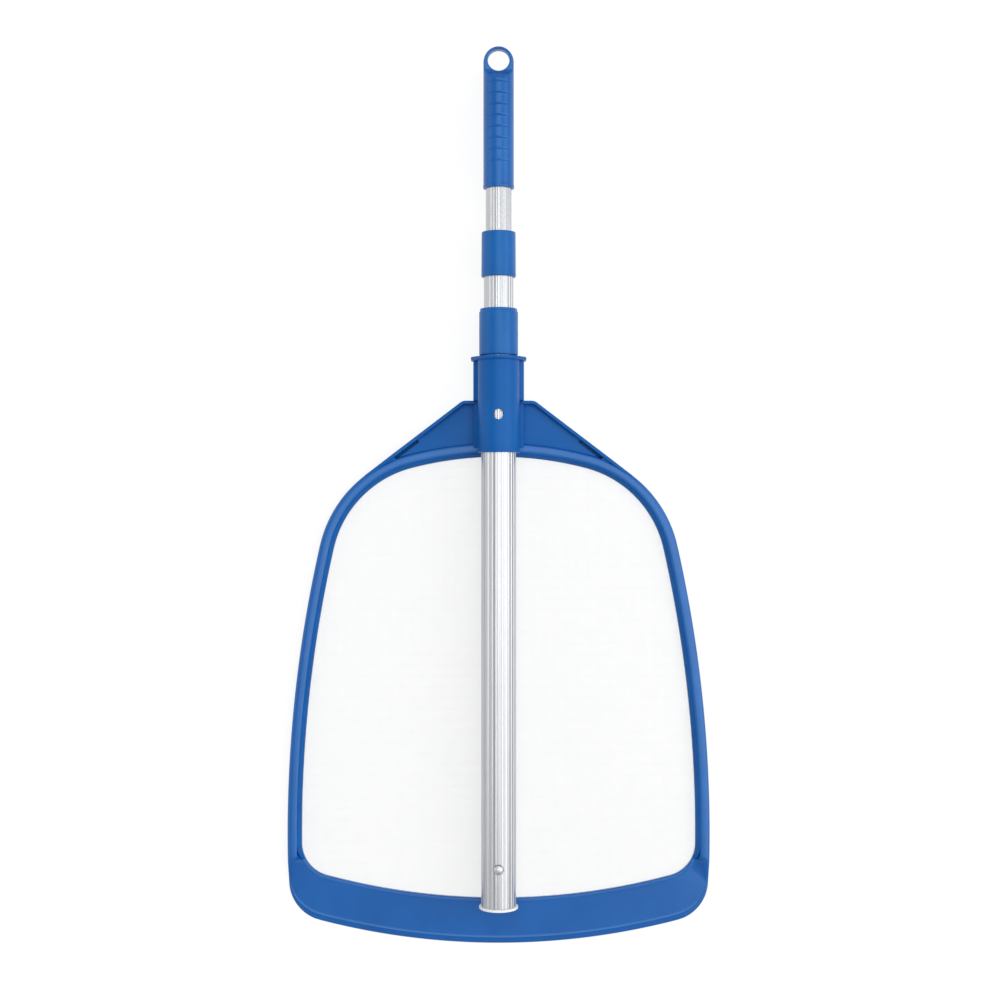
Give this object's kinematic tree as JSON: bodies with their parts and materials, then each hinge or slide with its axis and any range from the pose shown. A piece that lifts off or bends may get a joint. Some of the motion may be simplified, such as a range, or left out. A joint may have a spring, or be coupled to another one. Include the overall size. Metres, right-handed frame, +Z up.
{
  "type": "leaf skimmer net",
  "caption": "D-shaped pool leaf skimmer with a fine net, a scoop blade and a telescopic pole stored through its socket.",
  "frame": {"origin": "on the floor below the middle of the stored skimmer's box", "axes": "+Y along the pole towards the grip, +Z up, away from the floor that the head's back lies on, +X to the right seen from above"},
  "size_m": [0.3676, 0.775, 0.048],
  "materials": {
    "blue_plastic": "satin injection moulded polypropylene",
    "white_plastic": "satin moulded",
    "tube_aluminium": "clear anodised, fluted",
    "spring_steel": "rolled stainless strip",
    "button_steel": "drawn, nickel plated",
    "net_mesh": "fine woven nylon monofilament"
  },
  "bodies": {
    "head": {"hoop_rail": "blue_plastic", "scoop_blade": "blue_plastic", "corner_left": "blue_plastic", "corner_right": "blue_plastic", "net_clamp_ring": "blue_plastic", "net": "net_mesh", "bracket_left": "blue_plastic", "bracket_right": "blue_plastic", "pole_socket": "blue_plastic"},
    "outer_section": {"outer_tube": "tube_aluminium", "outer_collar": "blue_plastic", "end_plug": "white_plastic", "button_spring_front": "spring_steel", "button_spring_back": "spring_steel"},
    "button_front": {"snap_button_front": "button_steel"},
    "button_back": {"snap_button_back": "button_steel"},
    "middle_lock": {"middle_lock_ring": "white_plastic"},
    "middle_section": {"middle_tube": "tube_aluminium", "middle_collar": "blue_plastic", "middle_cam_plug": "blue_plastic"},
    "inner_lock": {"inner_lock_ring": "white_plastic"},
    "inner_section": {"inner_tube": "tube_aluminium", "inner_cam_plug": "blue_plastic", "grip": "blue_plastic"}
  },
  "joints": [
    {"name": "pole_slide", "type": "slide", "parent": "head", "child": "outer_section", "axis": [0, 1, 0], "range_m": [0, 0.3865]},
    {"name": "button_front_press", "type": "slide", "parent": "outer_section", "child": "button_front", "axis": [0, 0, -1], "range_m": [0, 0.004], "stiffness_N_per_m": 800, "springref_m": -0.001, "deforming": ["button_spring_front"]},
    {"name": "button_back_press", "type": "slide", "parent": "outer_section", "child": "button_back", "axis": [0, 0, 1], "range_m": [0, 0.004], "stiffness_N_per_m": 800, "springref_m": -0.001, "deforming": ["button_spring_back"]},
    {"name": "middle_extend", "type": "slide", "parent": "outer_section", "child": "middle_lock", "axis": [0, 1, 0], "range_m": [0, 0.38]},
    {"name": "middle_twist", "type": "hinge", "parent": "middle_lock", "child": "middle_section", "pos_m": [0.0002, -0.2725, 0.028], "axis": [0, 1, 0], "range_deg": [-90, 90]},
    {"name": "inner_extend", "type": "slide", "parent": "middle_section", "child": "inner_lock", "axis": [0, 1, 0], "range_m": [0, 0.41]},
    {"name": "inner_twist", "type": "hinge", "parent": "inner_lock", "child": "inner_section", "pos_m": [0.0002, -0.2349, 0.028], "axis": [0, 1, 0], "range_deg": [-90, 90]}
  ]
}
